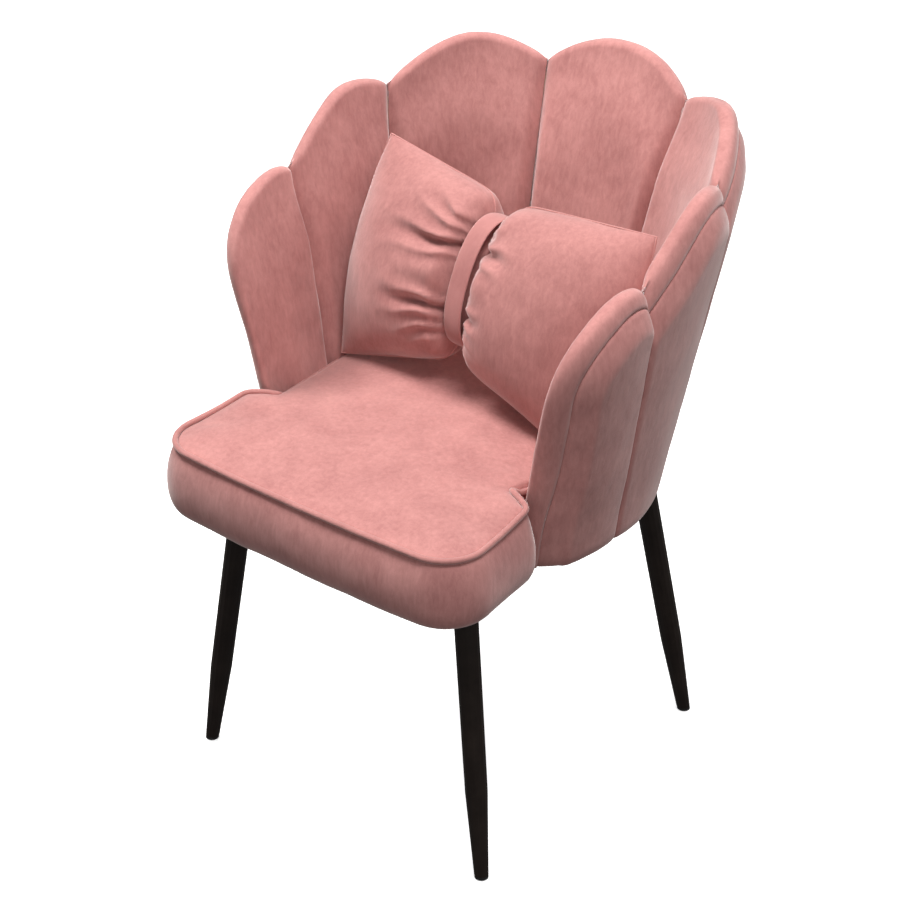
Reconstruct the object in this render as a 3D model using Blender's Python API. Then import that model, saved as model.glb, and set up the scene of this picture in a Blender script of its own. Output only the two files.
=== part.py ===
"""Scallop-back upholstered chair with a loose bow cushion.

The chair stands on z = 0 with its seat facing -Y.  "left" is the -X side and
"right" the +X side, as seen by someone who stands in front of the chair.
The upholstered shell follows one mid surface: a superellipse in plan whose two
half axes grow with height, so that the back leans back and the arms flare out.
Seven petals stand side by side on that surface.  All lengths are in metres.
"""

import math

import bmesh
import bpy
from mathutils import Vector

# ---------------------------------------------------------------- driving sizes
GAP = 0.0003                 # between solids that touch on the real chair
SOFT_GAP = 0.0010            # between a foam pad and the curved board behind it

# Shell: mid surface in plan, at two reference heights.
SHELL_Z0 = 0.380
SHELL_Z1 = 0.780
HALF_WIDTH_Z0, HALF_WIDTH_Z1 = 0.2125, 0.2735
DEPTH_Z0, DEPTH_Z1 = 0.202, 0.325
PLAN_CENTRE_Y = -0.030
PLAN_POWER = 2.4
ARM_RUN_Z0, ARM_RUN_Z1 = 0.112, 0.142    # straight length of an arm, forward of the plan centre
ARM_TUCK_Z0, ARM_TUCK_Z1 = 2.0, -0.5     # how fast an arm closes in towards its front
SHELL_LOW = 0.366            # foot of the outer pads

# Seams between petals on one side: plan angle at the bottom and at the notch,
# and the height of the notch.  The last one stands at the plan centre.
SEAMS = ((14.6, 18.1, 0.773), (62.0, 62.5, 0.749), (90.0, 90.0, 0.694))
PETAL_RISE = (0.0380, 0.0345, 0.0390)    # apex above the line between notches
HUMP_POWER = 1.70                        # 2 is a parabola, 1 a pointed leaf
ARM_FRONT_Z = 0.585                      # where the arm's arch meets its front edge
ARM_ARCH_POWERS = (1.55, 2.55)
ARM_SHOULDER = 0.016                     # the arch starts this much above its notch, then dips to it
ARM_SHOULDER_POWER = 6                   # how soon the dip dies out in front of the notch

# Thickness of the shell, measured from its mid surface.
BOARD_HALF = 0.004
PAD_SEAM_DEPTH = 0.0245      # inner face beside a seam
PAD_CROWN = 0.0045           # extra fullness in the middle of a petal
PAD_TAPER = (1.0, 1.0, 0.97, 0.74)       # part of the depth kept from the rail up to the rim
PAD_TOP_ROUND = (0.64, 0.26)             # and round the rim to its top edge
PAD_EDGE_DROPS = (0.36, 0.28)            # parts of the rim drop where the pad turns over the top
PAD_EDGE_LIP = 0.75                      # part of the lip reached there
ARM_THINNING, ARM_THINNING_POWER = 0.28, 3   # an arm loses this part of its depth towards its front
ARM_FULLNESS_POWER = 4                   # keeps an arm's face flat in its middle
LIP = 0.0120                 # how far the inner pad wraps over the board's edge
RIM_DROP = 0.0125            # from a petal's top edge down to the wrapped seam
OUTER_DEPTH = 0.0245
OUTER_FULLNESS = 0.0030
OUTER_FOOT_INSET = 0.006     # the outer pads draw in at their foot
SEAM_MARGIN = 0.006          # part of a petal's width kept clear beside each seam
ARM_MARGIN = 0.004
FRONT_ROUND_START, FRONT_ROUND_END = 0.93, 0.996     # parts of an arm's length where its front rim rounds off
FRONT_ROUND_LEAST = 0.05     # the squared thickness left at the very front
FRONT_STATIONS = (0.94, 0.97, 0.992)

# Seat
SEAT_UNDERSIDE = 0.3660
BOARD_THICK = 0.012
WELT_Z = 0.4573
WELT_RADIUS = 0.0035
BORDER_TOP = 0.4535
SEAT_CROWN = 0.015
CROWN_RINGS = ((0.95, 0.38), (0.84, 0.72), (0.60, 0.94), (0.30, 1.0))
SEAT_MIDDLE_Y = -0.10
SEAT_FRONT_Y = -0.314
SEAT_HALF_WIDTH, EAR_HALF_WIDTH = 0.2225, 0.2110
SEAT_CORNER = 0.050
SEAT_BOW = 0.007             # the front edge bows forward in its middle
SEAT_BOW_X = 0.090           # where it has bent back by a seventh of that
SEAT_ARM_SPOTS = (0.98, 0.85, 0.45)      # parts of an arm's length where the seat runs along it
EAR_BACK_Y, EAR_RADIUS = -0.1675, 0.014
EAR_NOTCH_Y, EAR_NOTCH_RADIUS = -0.1515, 0.005
EAR_NOTCH_EASE = 0.004       # the seat comes this much closer to the arm's rounded front
SEAT_SHELL_CLEAR = 0.0345    # seat outline inside the shell's mid surface
BORDER_BULGE = 0.012
BORDER_SHAPE = ((0.0, -0.5), (0.07, 0.35), (0.28, 0.95), (0.55, 1.0), (0.82, 0.60), (1.0, 0.0))
BULGE_START_Y, BULGE_RUN = -0.155, 0.020     # the side bulges only in front of the arms
SKIN = 0.0014                # velvet with its backing

# Legs
FOOT_FRONT, TOP_FRONT = (0.216, -0.251), (0.168, -0.224)
FOOT_REAR, TOP_REAR = (0.213, 0.172), (0.170, 0.116)
LEG_TOP_Z = 0.3611
GLIDE_HEAD = 0.005
GLIDE_STEM_TOP = 0.018
KNEE_Z = 0.115
LEG_R_TOP, LEG_R_KNEE, LEG_R_FOOT = 0.0145, 0.0135, 0.0085
LEG_WALL = 0.0015
PLATE_THICK = 0.003
PLATE_Z = 0.3614
PLATE_RADIUS = 0.035
PLATE_FRONT, PLATE_REAR = (0.155, -0.215), (0.155, 0.105)
PLATE_SCREWS_FRONT = ((0.135, -0.205), (0.165, -0.192))
PLATE_SCREWS_REAR = ((0.145, 0.132), (0.182, 0.091))
COVER_THICK = 0.001
BOARD_INSET, COVER_INSET = 0.0105, 0.009     # seat board and dust cover inside the seat's outline

# Timber rail at the foot of the shell, and the cleats that tie it to the seat.
RAIL_HALF = 0.012
RAIL_Z0, RAIL_Z1 = 0.3647, 0.3920
RAIL_RUN = 0.092
RAIL_STEP = 7.5              # degrees between its stations round the back
CLEAT_WIDTH = 0.026
CLEAT_REAR_X = 0.050
CLEAT_REAR_Y = (0.106, 0.182)
CLEAT_REAR_SCREWS = (0.117, 0.1690)
CLEAT_SIDE_Y = -0.060
CLEAT_SIDE_X = (0.148, 0.2205)
CLEAT_SIDE_SCREWS = (0.159, 0.2105)

SCREW_R, SCREW_HEAD_R, SCREW_HEAD_H = 0.0020, 0.0038, 0.0020
SCREW_TIP_LENGTH = 0.003
SCREW_HOLE_R = 0.0025
SCREW_TIP_Z = 0.3752
HOLE_Z0, HOLE_Z1 = 0.347, 0.385

# Bow cushion: a rectangular cushion, drawn in at its middle by a band.
BOW_CENTRE = (0.008, 0.023, 0.6020)
BOW_LEAN = 23.0              # degrees back from the vertical
BOW_TURN = -5.0              # degrees about Z: the left wing lies further back
BOW_HALF_WIDTH_LOW, BOW_HALF_WIDTH_HIGH = 0.188, 0.205
BOW_SIDE_BULGE = 0.009       # its ends swell outwards between their corners
BOW_HALF_HEIGHT = 0.133
BOW_WING_DROP = 0.013        # the wings' ends hang below the band's centre
BOW_WAIST_HEIGHT = 0.076
BOW_WAIST_DEPTH = 0.042
BOW_WAIST_SHIFT = -0.007     # the band sits left of the middle
BOW_WING_DEPTH = 0.050
BOW_STATIONS = (0.07, 0.17, 0.32, 0.52, 0.74, 0.92, 1.0)     # parts of the half width
BOW_POWER, BAND_POWER = 1.7, 2.2             # 2 makes an ellipse, more a squarer section
BOW_FULL_HEIGHT = 0.75       # part of a wing's length over which its height grows
BOW_FULL_DEPTH = 0.8
BOW_END_START, BOW_END_RUN = 0.40, 0.61      # the depth closes down to the wing's end along an ellipse
BOW_END_LEAST = 0.012        # the squared part of the depth left at the end
BAND_WIDTH = 0.026
BAND_THICK = 0.0025
BAND_CLEAR = 0.004

SIDES = (("left", -1), ("right", 1))


# ---------------------------------------------------------------- materials
def material(name, colour, roughness, metallic=0.0):
    mat = bpy.data.materials.new(name)
    mat.use_nodes = True
    shader = mat.node_tree.nodes["Principled BSDF"]
    shader.inputs["Base Color"].default_value = (*colour, 1.0)
    shader.inputs["Roughness"].default_value = roughness
    shader.inputs["Metallic"].default_value = metallic
    mat.diffuse_color = (*colour, 1.0)
    return mat


# ---------------------------------------------------------------- mesh helpers
def finish_object(name, bm, mat, sharp_angle=35.0):
    bmesh.ops.recalc_face_normals(bm, faces=bm.faces)
    mesh = bpy.data.meshes.new(name)
    bm.to_mesh(mesh)
    bm.free()
    mesh.shade_smooth()
    mesh.set_sharp_from_angle(angle=math.radians(sharp_angle))
    obj = bpy.data.objects.new(name, mesh)
    bpy.context.scene.collection.objects.link(obj)
    if mat is not None:
        mesh.materials.append(mat)
    return obj


def loft(name, rings, mat, cap="face", wrap=False, sharp_angle=35.0):
    """Skin a list of closed rings.  cap is "face", or "strip" for a ring whose
    first half runs up one side and whose second half comes down the other."""
    bm = bmesh.new()
    loops = [[bm.verts.new(point) for point in ring] for ring in rings]
    count = len(loops[0])
    pairs = list(zip(loops, loops[1:]))
    if wrap:
        pairs.append((loops[-1], loops[0]))
    for low, high in pairs:
        for i in range(count):
            j = (i + 1) % count
            bm.faces.new((low[i], low[j], high[j], high[i]))
    if not wrap:
        for loop in (loops[0], loops[-1]):
            if cap == "face":
                bm.faces.new(loop)
            else:
                for i in range(count // 2 - 1):
                    bm.faces.new((loop[i], loop[i + 1], loop[count - 2 - i], loop[count - 1 - i]))
    return finish_object(name, bm, mat, sharp_angle)


def circle(x, y, z, radius, count):
    steps = (2 * math.pi * k / count for k in range(count))
    return [Vector((x + radius * math.cos(a), y + radius * math.sin(a), z)) for a in steps]


def fillet_path(corners):
    """Points of an open path whose corners (x, y, radius, steps) are arcs."""
    path = []
    for k, (x, y, radius, steps) in enumerate(corners):
        here = Vector((x, y))
        if radius == 0:
            path.append(here)
            continue
        before = (Vector(corners[k - 1][:2]) - here).normalized()
        after = (Vector(corners[k + 1][:2]) - here).normalized()
        half = before.angle(after) / 2
        centre = here + (before + after).normalized() * radius / math.sin(half)
        start = here + before * radius / math.tan(half) - centre
        end = here + after * radius / math.tan(half) - centre
        for s in range(steps + 1):
            spoke = start.slerp(end, s / steps).normalized() * radius
            path.append(centre + spoke)
    return path


# ---------------------------------------------------------------- shell surface
def shell_point(angle, z, offset=0.0):
    """Point of the shell.  angle runs from 0 at the back's middle to 90 at the
    side; past 90 it is 90 plus metres of straight run towards the front.
    offset is measured outwards from the mid surface."""
    t = (z - SHELL_Z0) / (SHELL_Z1 - SHELL_Z0)
    half_width = HALF_WIDTH_Z0 + (HALF_WIDTH_Z1 - HALF_WIDTH_Z0) * t
    depth = DEPTH_Z0 + (DEPTH_Z1 - DEPTH_Z0) * t
    side = -1.0 if angle < 0 else 1.0
    turn = abs(angle)
    if turn >= 90.0:
        run = turn - 90.0
        tuck = ARM_TUCK_Z0 + (ARM_TUCK_Z1 - ARM_TUCK_Z0) * t
        return Vector((side * (half_width - tuck * run * run + offset), PLAN_CENTRE_Y - run, z))
    sine = math.sin(math.radians(turn)) ** (2 / PLAN_POWER)
    cosine = math.cos(math.radians(turn)) ** (2 / PLAN_POWER)
    normal = Vector((sine ** (PLAN_POWER - 1) / half_width, cosine ** (PLAN_POWER - 1) / depth)).normalized()
    x = half_width * sine + offset * normal.x
    y = PLAN_CENTRE_Y + depth * cosine + offset * normal.y
    return Vector((side * x, y, z))


def arm_run(z):
    """Straight length of an arm at height z."""
    return ARM_RUN_Z0 + (ARM_RUN_Z1 - ARM_RUN_Z0) * (z - SHELL_Z0) / (SHELL_Z1 - SHELL_Z0)


def seam_angle(index, z):
    """Plan angle of a seam at height z; a negative index is on the left."""
    low, high, notch = SEAMS[abs(index) - 1]
    value = low + (high - low) * (z - SHELL_Z0) / (notch - SHELL_Z0)
    return math.copysign(value, index)


class Petal:
    """One petal between two seams, with u from 0 to 1 across it."""

    def __init__(self, name, first, last, rise):
        self.name = name
        self.first = first
        self.last = last
        self.rise = rise

    def top(self, u):
        """Height of the scalloped edge."""
        start = SEAMS[abs(self.first) - 1][2]
        end = SEAMS[abs(self.last) - 1][2]
        hump = 1 - abs(2 * u - 1) ** HUMP_POWER
        return start + (end - start) * u + self.rise * hump

    def angle(self, u, z):
        return seam_angle(self.first, z) * (1 - u) + seam_angle(self.last, z) * u

    def crown(self, u):
        return PAD_SEAM_DEPTH + PAD_CROWN * (1 - (2 * u - 1) ** 2)


class ArmPetal(Petal):
    """Front petal: a straight run whose edge arches over and down its front."""

    def __init__(self, name, side):
        super().__init__(name, 3 * side, 3 * side, 0.0)
        self.side = side

    def top(self, u):
        """Arch from the rear seam's notch down to the start of the front edge."""
        start = SEAMS[2][2] + ARM_SHOULDER
        fall = (1 - u ** ARM_ARCH_POWERS[0]) ** (1 / ARM_ARCH_POWERS[1])
        dip = ARM_SHOULDER * (1 - u) ** ARM_SHOULDER_POWER
        return ARM_FRONT_Z + (start - ARM_FRONT_Z) * fall - dip

    def angle(self, u, z):
        return self.side * (90.0 + arm_run(z) * u)

    def crown(self, u):
        fullness = math.sqrt(max(0.0, 1 - (2 * u - 1) ** ARM_FULLNESS_POWER))
        return (PAD_SEAM_DEPTH + PAD_CROWN * fullness) * (1 - ARM_THINNING * u ** ARM_THINNING_POWER)


def petals():
    left_arm = ArmPetal("arm_left", -1)
    right_arm = ArmPetal("arm_right", 1)
    return [
        left_arm,
        Petal("side_left", -3, -2, PETAL_RISE[2]),
        Petal("back_left", -2, -1, PETAL_RISE[1]),
        Petal("back_centre", -1, 1, PETAL_RISE[0]),
        Petal("back_right", 1, 2, PETAL_RISE[1]),
        Petal("side_right", 2, 3, PETAL_RISE[2]),
        right_arm,
    ]


def petal_point(petal, u, z, offset):
    return shell_point(petal.angle(u, z), z, offset)


def across(petal):
    """Stations that a petal's board and pads share, so that their facets run
    side by side.  They stop short of the seams, and of an arm's front rim, and
    crowd together where an arm's edge turns down."""
    if isinstance(petal, ArmPetal):
        end = 1 - (RIM_DROP + 2 * GAP) / ARM_RUN_Z0
        parts = [1 - (1 - k / 8) ** 1.6 for k in range(9)]
        return [ARM_MARGIN + (end - ARM_MARGIN) * part for part in parts]
    return [SEAM_MARGIN + (1 - 2 * SEAM_MARGIN) * k / 8 for k in range(9)]


def heights(petal, u, low_gap, high_gap, low=RAIL_Z1):
    """Levels that a petal's board and pads share, from the rail to the rim."""
    high = petal.top(u) - RIM_DROP
    levels = [low + (high - low) * k / 3 for k in range(4)]
    levels[0] += low_gap
    levels[3] -= high_gap
    return levels


def pad_stations(petal):
    """Stations (u, past the board) of an inner pad; an arm's goes on round its front."""
    stations = [(u, False) for u in across(petal)]
    if isinstance(petal, ArmPetal):
        step = GAP / ARM_RUN_Z0
        end = stations[-1][0]
        stations.append((end + step, False))
        stations += [(u, True) for u in (end + 2 * step, *FRONT_STATIONS)]
    return stations


def inner_pad(petal, mat):
    """Foam pad and velvet on the sitter's side, wrapped over the board's edge.
    In front of an arm's board it reaches down past the end of the rail."""
    rings = []
    for u, past_board in pad_stations(petal):
        top = petal.top(u)
        past_round = max(0.0, u - FRONT_ROUND_START) if past_board else 0.0
        part_round = past_round / (FRONT_ROUND_END - FRONT_ROUND_START)
        round_off = math.sqrt(max(FRONT_ROUND_LEAST, 1 - part_round ** 2))
        face = -petal.crown(u) * round_off
        lip = LIP * round_off
        back = lip if past_board else -(BOARD_HALF + SOFT_GAP)
        levels = heights(petal, u, SOFT_GAP, 0.0, SHELL_LOW if past_board else RAIL_Z1)
        side = [petal_point(petal, u, z, face * part) for z, part in zip(levels, PAD_TAPER)]
        side.append(petal_point(petal, u, top - RIM_DROP * PAD_EDGE_DROPS[0], face * PAD_TOP_ROUND[0]))
        side.append(petal_point(petal, u, top, face * PAD_TOP_ROUND[1]))
        other = [petal_point(petal, u, top - RIM_DROP * PAD_EDGE_DROPS[1], lip * PAD_EDGE_LIP)]
        other.append(petal_point(petal, u, levels[3] + 2 * GAP, lip))
        other += [petal_point(petal, u, z, back) for z in reversed(levels)]
        rings.append(side + other)
    return loft("inner_pad_" + petal.name, rings, mat, cap="strip", sharp_angle=50)


def outer_pad(petal, mat):
    """Thin foam and velvet on the outside of one petal."""
    rings = []
    for u in across(petal):
        outside = OUTER_DEPTH + OUTER_FULLNESS * (1 - (2 * u - 1) ** 2)
        near_board = BOARD_HALF + SOFT_GAP
        near_rail = RAIL_HALF + SOFT_GAP
        shoulder, low, high, top = heights(petal, u, SOFT_GAP, SOFT_GAP)
        inside = [(SHELL_LOW, near_rail), (shoulder, near_rail), (shoulder + GAP, near_board)]
        inside += [(low, near_board), (high, near_board), (top, near_board)]
        outer = [(top - GAP, LIP), (top - RIM_DROP, (LIP + outside) / 2), (high, outside), (low, outside)]
        outer += [(shoulder, outside), (SHELL_LOW, outside - OUTER_FOOT_INSET)]
        rings.append([petal_point(petal, u, z, offset) for z, offset in inside + outer])
    return loft("outer_pad_" + petal.name, rings, mat, cap="strip", sharp_angle=50)


def shell_stations():
    """Plan positions (petal, u) round the whole shell, short of the front edges."""
    stations = []
    for petal in petals():
        steps = across(petal)
        if petal.name == "arm_left":
            steps.reverse()
        stations += [(petal, u) for u in steps]
    return stations


def shell_board(mat):
    """Moulded plywood sheet whose scalloped edge stays inside the pads' rim."""
    rings = []
    for petal, u in shell_stations():
        levels = heights(petal, u, GAP, SOFT_GAP)
        inner = [petal_point(petal, u, z, -BOARD_HALF) for z in levels]
        outer = [petal_point(petal, u, z, BOARD_HALF) for z in reversed(levels)]
        rings.append(inner + outer)
    return loft("shell_board", rings, mat, cap="strip", sharp_angle=30)


def base_rail(mat):
    """Laminated timber hoop that carries the board and takes the screws."""
    angles = [-90 - RAIL_RUN, -90 - RAIL_RUN / 2]
    angles += [-90 + RAIL_STEP * k for k in range(round(180 / RAIL_STEP) + 1)]
    angles += [90 + RAIL_RUN / 2, 90 + RAIL_RUN]
    rings = []
    for angle in angles:
        section = ((RAIL_Z0, -RAIL_HALF), (RAIL_Z1, -RAIL_HALF), (RAIL_Z1, RAIL_HALF), (RAIL_Z0, RAIL_HALF))
        rings.append([shell_point(angle, z, offset) for z, offset in section])
    return loft("base_rail", rings, mat, sharp_angle=30)


# ---------------------------------------------------------------- seat
def seat_half_outline(z):
    """Right half of the seat in plan at height z: straight front, round corner,
    an ear in front of the arm, then the shell's own curve to the back."""
    tip, side, middle = (90 + arm_run(z) * part for part in SEAT_ARM_SPOTS)
    arm_tip = shell_point(tip, z, EAR_NOTCH_EASE - SEAT_SHELL_CLEAR)
    arm_side = shell_point(side, z, -SEAT_SHELL_CLEAR)
    corners = [
        (0.0, SEAT_FRONT_Y, 0, 0),
        (SEAT_BOW_X, SEAT_FRONT_Y + SEAT_BOW / 7, 0, 0),
        (SEAT_HALF_WIDTH, SEAT_FRONT_Y + SEAT_BOW, SEAT_CORNER, 5),
        (EAR_HALF_WIDTH, EAR_BACK_Y, EAR_RADIUS, 3),
        (arm_tip.x, EAR_NOTCH_Y, EAR_NOTCH_RADIUS, 2),
        (arm_side.x, arm_side.y, 0, 0),
    ]
    path = fillet_path(corners)
    for angle in (middle, 90.0, 80.0, 68.0, 56.0, 44.0, 32.0, 20.0, 10.0, 0.0):
        point = shell_point(angle, z, -SEAT_SHELL_CLEAR)
        path.append(Vector((point.x, point.y)))
    return path


def seat_outline(z, bulge=0.0, inset=0.0):
    """Closed seat outline at height z.  bulge swells it along the front and the
    ears, but not where the shell stands beside it; inset shrinks all of it."""
    half = seat_half_outline(z)
    mirrored = [Vector((-p.x, p.y)) for p in reversed(half[1:-1])]
    loop = half + mirrored
    count = len(loop)
    ring = []
    for k, point in enumerate(loop):
        along = (loop[(k + 1) % count] - loop[k - 1]).normalized()
        outward = Vector((along.y, -along.x))
        free = min(1.0, max(0.0, (BULGE_START_Y - point.y) / BULGE_RUN))
        moved = point + outward * (bulge * free - inset)
        ring.append(Vector((moved.x, moved.y, z)))
    return ring


def shrink(ring, factor, z):
    """Ring scaled towards the seat's middle, at height z."""
    return [Vector((p.x * factor, SEAT_MIDDLE_Y + (p.y - SEAT_MIDDLE_Y) * factor, z)) for p in ring]


def crowned_top(edge, edge_z):
    """Rings of the seat's crowned top above an edge ring."""
    return [shrink(edge, factor, edge_z + SEAT_CROWN * lift) for factor, lift in CROWN_RINGS]


def border_profile():
    """Height and bulge of the seat's side, from bottom to top."""
    height = BORDER_TOP - SEAT_UNDERSIDE
    return [(SEAT_UNDERSIDE + height * t, BORDER_BULGE * part) for t, part in BORDER_SHAPE]


def seat_foam(mat):
    rings = []
    lowest = SEAT_UNDERSIDE + BOARD_THICK + GAP
    for z, bulge in border_profile()[1:-1]:
        level = max(z, lowest)
        rings.append(seat_outline(level, bulge, SKIN + 2 * SOFT_GAP))
    edge_z = BORDER_TOP + GAP - SKIN - SOFT_GAP
    edge = seat_outline(edge_z, 0.0, WELT_RADIUS + 2 * GAP)
    rings.append(edge)
    rings += crowned_top(edge, edge_z)
    return loft("seat_foam", rings, mat, sharp_angle=60)


def seat_top_cover(mat):
    edge_z = BORDER_TOP + GAP + SOFT_GAP
    edge = seat_outline(edge_z, 0.0, WELT_RADIUS + 2 * GAP)
    outer = [edge] + crowned_top(edge, edge_z)
    under = [[Vector((p.x, p.y, p.z - SKIN)) for p in ring] for ring in outer]
    return loft("seat_top_cover", list(reversed(under)) + outer, mat, sharp_angle=60)


def seat_border(mat):
    profile = border_profile()
    outer = [seat_outline(z, bulge) for z, bulge in profile]
    inner = [seat_outline(z, bulge, SKIN) for z, bulge in reversed(profile)]
    return loft("seat_border_cover", outer + inner, mat, wrap=True, sharp_angle=60)


def seat_welt(mat):
    rings = []
    path = seat_outline(WELT_Z)
    count = len(path)
    for k, centre in enumerate(path):
        along = (path[(k + 1) % count] - path[k - 1]).normalized()
        outward = along.cross(Vector((0, 0, 1)))
        ring = []
        for s in range(6):
            turn = math.pi * s / 3
            spoke = outward * math.cos(turn) + Vector((0, 0, math.sin(turn)))
            ring.append(centre + WELT_RADIUS * spoke)
        rings.append(ring)
    return loft("seat_welt", rings, mat, wrap=True, sharp_angle=80)


def slab(name, low, high, inset, mat):
    """Flat sheet with the seat's plan, inset from its outline."""
    flat = seat_outline(SHELL_Z0, 0.0, inset)
    rings = [[Vector((p.x, p.y, z)) for p in flat] for z in (low, high)]
    return loft(name, rings, mat, sharp_angle=30)


# ---------------------------------------------------------------- fixings
def box(name, low, high, mat):
    section = ((low[0], low[1]), (high[0], low[1]), (high[0], high[1]), (low[0], high[1]))
    rings = [[Vector((x, y, z)) for x, y in section] for z in (low[2], high[2])]
    return loft(name, rings, mat, sharp_angle=30)


def drill(obj, spots):
    """Cut clearance holes straight up through a piece at plan positions."""
    bm = bmesh.new()
    for x, y in spots:
        loops = [[bm.verts.new(p) for p in circle(x, y, z, SCREW_HOLE_R, 8)] for z in (HOLE_Z0, HOLE_Z1)]
        for i in range(8):
            j = (i + 1) % 8
            bm.faces.new((loops[0][i], loops[0][j], loops[1][j], loops[1][i]))
        bm.faces.new(loops[0])
        bm.faces.new(loops[1])
    cutter = finish_object("cutter_" + obj.name, bm, None)
    cutter.hide_render = True
    cutter.display_type = "WIRE"
    cut = obj.modifiers.new("screw_holes", "BOOLEAN")
    cut.operation = "DIFFERENCE"
    cut.solver = "EXACT"
    cut.object = cutter


def screw(name, x, y, mat):
    """Pan-head wood screw driven up through a plate or a cleat."""
    head_low = PLATE_Z - GAP - SCREW_HEAD_H
    head_high = PLATE_Z - GAP
    profile = (
        (head_low, SCREW_HEAD_R * 0.7),
        (head_low + 0.0008, SCREW_HEAD_R),
        (head_high, SCREW_HEAD_R),
        (head_high, SCREW_R),
        (SCREW_TIP_Z - SCREW_TIP_LENGTH, SCREW_R),
        (SCREW_TIP_Z, SCREW_R * 0.25),
    )
    return loft(name, [circle(x, y, z, radius, 8) for z, radius in profile], mat)


def leg_centre(foot, top, z):
    t = z / LEG_TOP_Z
    return foot[0] + (top[0] - foot[0]) * t, foot[1] + (top[1] - foot[1]) * t


def leg_radius(z):
    if z < KNEE_Z:
        return LEG_R_FOOT + (LEG_R_KNEE - LEG_R_FOOT) * z / KNEE_Z
    return LEG_R_KNEE + (LEG_R_TOP - LEG_R_KNEE) * (z - KNEE_Z) / (LEG_TOP_Z - KNEE_Z)


def leg(name, foot, top, mat):
    """Splayed tapered steel tube, open at both ends."""
    heights = (GLIDE_HEAD + GAP, KNEE_Z, LEG_TOP_Z)
    outer = [circle(*leg_centre(foot, top, z), z, leg_radius(z), 14) for z in heights]
    inner = [circle(*leg_centre(foot, top, z), z, leg_radius(z) - LEG_WALL, 14) for z in reversed(heights)]
    return loft(name, outer + inner, mat, wrap=True)


def glide(name, foot, top, mat):
    """Plastic foot whose stem plugs into the leg."""
    profile = (
        (0.0, LEG_R_FOOT - 0.0015),
        (0.0012, LEG_R_FOOT),
        (GLIDE_HEAD, LEG_R_FOOT),
        (GLIDE_HEAD, LEG_R_FOOT - LEG_WALL - GAP),
        (GLIDE_STEM_TOP, LEG_R_FOOT - LEG_WALL - GAP),
    )
    rings = [circle(*leg_centre(foot, top, z), z, radius, 14) for z, radius in profile]
    return loft(name, rings, mat)


def leg_plate(name, centre, mat):
    rings = [circle(*centre, z, PLATE_RADIUS, 24) for z in (PLATE_Z, PLATE_Z + PLATE_THICK)]
    return loft(name, rings, mat)


# ---------------------------------------------------------------- bow cushion
def bow_point(x, up, out):
    """Cushion coordinates: across, up its face and out of its front."""
    lean = math.radians(BOW_LEAN)
    turn = math.radians(BOW_TURN)
    y = up * math.sin(lean) - out * math.cos(lean)
    z = up * math.cos(lean) + out * math.sin(lean)
    return Vector((
        BOW_CENTRE[0] + x * math.cos(turn) - y * math.sin(turn),
        BOW_CENTRE[1] + x * math.sin(turn) + y * math.cos(turn),
        BOW_CENTRE[2] + z,
    ))


def oval(half_height, half_depth, count=16, power=2.0):
    """Closed section of the cushion: (up, out) pairs of a superellipse."""
    section = []
    for k in range(count):
        angle = 2 * math.pi * k / count
        sine, cosine = math.sin(angle), math.cos(angle)
        up = half_height * math.copysign(abs(sine) ** (2 / power), sine)
        out = half_depth * math.copysign(abs(cosine) ** (2 / power), cosine)
        section.append((up, out))
    return section


def bow_body(mat):
    """Soft cushion: flat closed ends, full wings and a waist under the band."""
    rings = []
    waist = BOW_STATIONS[0]
    for s in [-part for part in reversed(BOW_STATIONS)] + list(BOW_STATIONS):
        reach = (abs(s) - waist) / (1 - waist)
        swell = math.sin(math.pi / 2 * min(1.0, reach / BOW_FULL_HEIGHT))
        height = BOW_WAIST_HEIGHT + (BOW_HALF_HEIGHT - BOW_WAIST_HEIGHT) * swell
        rise = math.sin(math.pi * min(1.0, reach / BOW_FULL_DEPTH))
        depth = BOW_WAIST_DEPTH + (BOW_WING_DEPTH - BOW_WAIST_DEPTH) * rise
        if reach > BOW_END_START:
            past = (reach - BOW_END_START) / BOW_END_RUN
            depth = BOW_WING_DEPTH * math.sqrt(max(BOW_END_LEAST, 1 - past ** 2))
        ring = []
        for up, out in oval(height, depth, power=BOW_POWER):
            level = up / BOW_HALF_HEIGHT
            width = BOW_HALF_WIDTH_LOW + (BOW_HALF_WIDTH_HIGH - BOW_HALF_WIDTH_LOW) * (level + 1) / 2
            width += BOW_SIDE_BULGE * (1 - level * level) * reach
            shift = BOW_WAIST_SHIFT * (1 - abs(s))
            ring.append(bow_point(s * width + shift, up - BOW_WING_DROP * reach, out))
        rings.append(ring)
    return loft("bow_body", rings, mat, sharp_angle=80)


def bow_band(mat):
    """Closed band round the waist."""
    low, high = BOW_WAIST_SHIFT - BAND_WIDTH / 2, BOW_WAIST_SHIFT + BAND_WIDTH / 2
    height = BOW_WAIST_HEIGHT + BAND_CLEAR
    depth = BOW_WAIST_DEPTH + BAND_CLEAR
    inner = oval(height, depth, 24, BAND_POWER)
    outer = oval(height + BAND_THICK, depth + BAND_THICK, 24, BAND_POWER)
    rings = [
        [bow_point(low, up, out) for up, out in inner],
        [bow_point(high, up, out) for up, out in inner],
        [bow_point(high, up, out) for up, out in outer],
        [bow_point(low, up, out) for up, out in outer],
    ]
    return loft("bow_band", rings, mat, wrap=True, sharp_angle=50)


# ---------------------------------------------------------------- assembly
def group(name, children):
    empty = bpy.data.objects.new(name, None)
    bpy.context.scene.collection.objects.link(empty)
    for child in children:
        child.parent = empty
    return empty


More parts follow.
